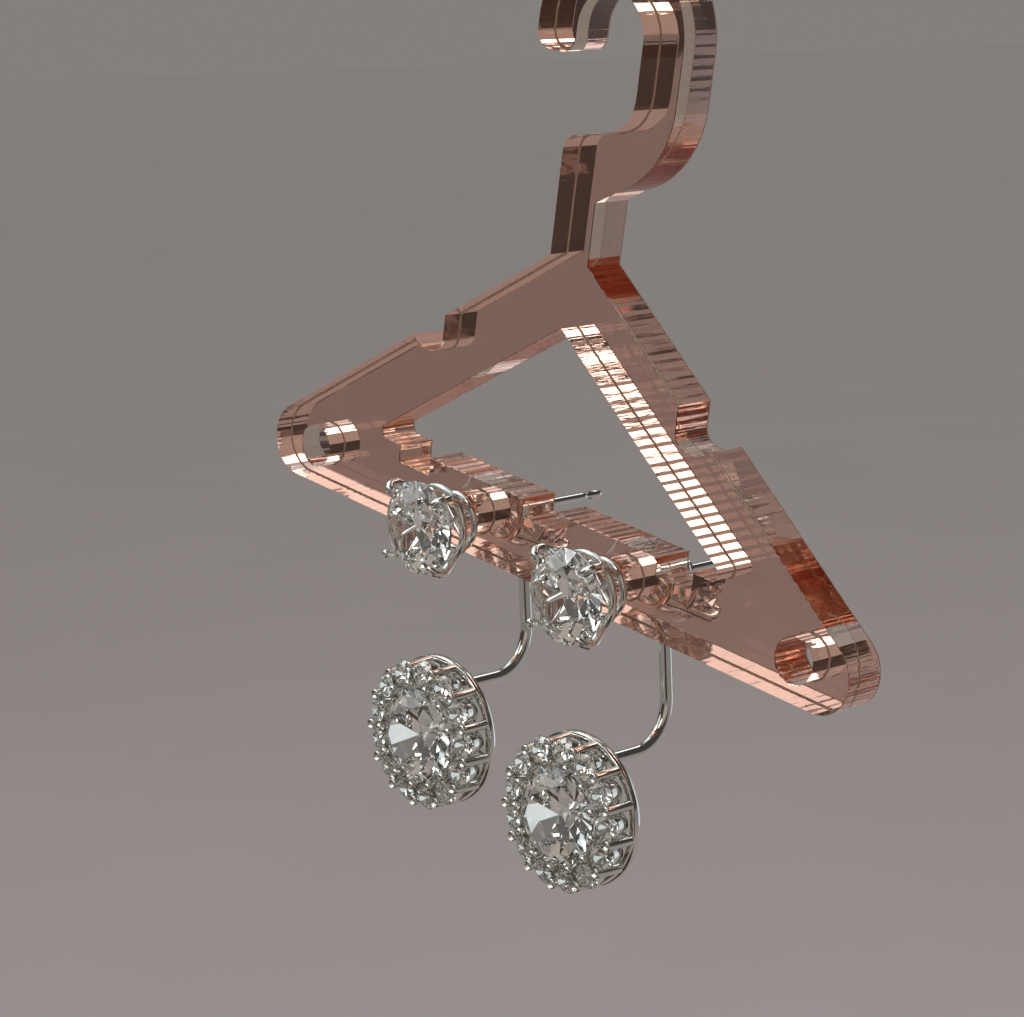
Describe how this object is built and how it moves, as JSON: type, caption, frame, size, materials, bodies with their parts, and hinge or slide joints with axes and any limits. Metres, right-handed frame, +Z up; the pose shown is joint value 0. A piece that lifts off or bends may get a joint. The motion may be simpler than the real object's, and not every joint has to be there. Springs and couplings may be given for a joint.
{
  "type": "pair of ear jacket earrings on a display hanger",
  "caption": "Claw-set stud earrings with round halo jackets that hang from their posts behind the slotted bar of a small mirror acrylic display hanger with a hook.",
  "frame": {"origin": "top of the hook's inside, in the middle of the plate's thickness, where the hanger hangs", "axes": "+Z straight up, +X to the right seen from the front, +Y to the back; the hanger hangs 12.3 degrees askew in its own plane and the jackets hang plumb"},
  "size_m": [0.0543, 0.02, 0.0612],
  "materials": {
    "rose_gold_mirror_acrylic": "gloss cast acrylic with a mirror back, laser cut edges",
    "rhodium_plated_silver": "polished",
    "clear_zirconia": "faceted and polished"
  },
  "bodies": {
    "hanger": {"hanger_plate": "rose_gold_mirror_acrylic", "stud_setting_left": "rhodium_plated_silver", "stud_stone_left": "clear_zirconia", "clutch_left": "rhodium_plated_silver", "stud_setting_right": "rhodium_plated_silver", "stud_stone_right": "clear_zirconia", "clutch_right": "rhodium_plated_silver"},
    "jacket_left": {"jacket_frame_left": "rhodium_plated_silver", "jacket_centre_stone_left": "clear_zirconia", "halo_stone_left_01": "clear_zirconia", "halo_stone_left_02": "clear_zirconia", "halo_stone_left_03": "clear_zirconia", "halo_stone_left_04": "clear_zirconia", "halo_stone_left_05": "clear_zirconia", "halo_stone_left_06": "clear_zirconia", "halo_stone_left_07": "clear_zirconia", "halo_stone_left_08": "clear_zirconia", "halo_stone_left_09": "clear_zirconia", "halo_stone_left_10": "clear_zirconia", "halo_stone_left_11": "clear_zirconia", "halo_stone_left_12": "clear_zirconia", "halo_stone_left_13": "clear_zirconia"},
    "jacket_right": {"jacket_frame_right": "rhodium_plated_silver", "jacket_centre_stone_right": "clear_zirconia", "halo_stone_right_01": "clear_zirconia", "halo_stone_right_02": "clear_zirconia", "halo_stone_right_03": "clear_zirconia", "halo_stone_right_04": "clear_zirconia", "halo_stone_right_05": "clear_zirconia", "halo_stone_right_06": "clear_zirconia", "halo_stone_right_07": "clear_zirconia", "halo_stone_right_08": "clear_zirconia", "halo_stone_right_09": "clear_zirconia", "halo_stone_right_10": "clear_zirconia", "halo_stone_right_11": "clear_zirconia", "halo_stone_right_12": "clear_zirconia", "halo_stone_right_13": "clear_zirconia"}
  },
  "joints": [
    {"name": "jacket_left_swing", "type": "hinge", "parent": "hanger", "child": "jacket_left", "pos_m": [-0.01566, 0.0041, -0.03526], "axis": [0, 1, 0], "range_deg": [-7, 60]},
    {"name": "jacket_right_swing", "type": "hinge", "parent": "hanger", "child": "jacket_right", "pos_m": [-0.00159, 0.0035, -0.03832], "axis": [0, 1, 0], "range_deg": [-60, 7]}
  ]
}
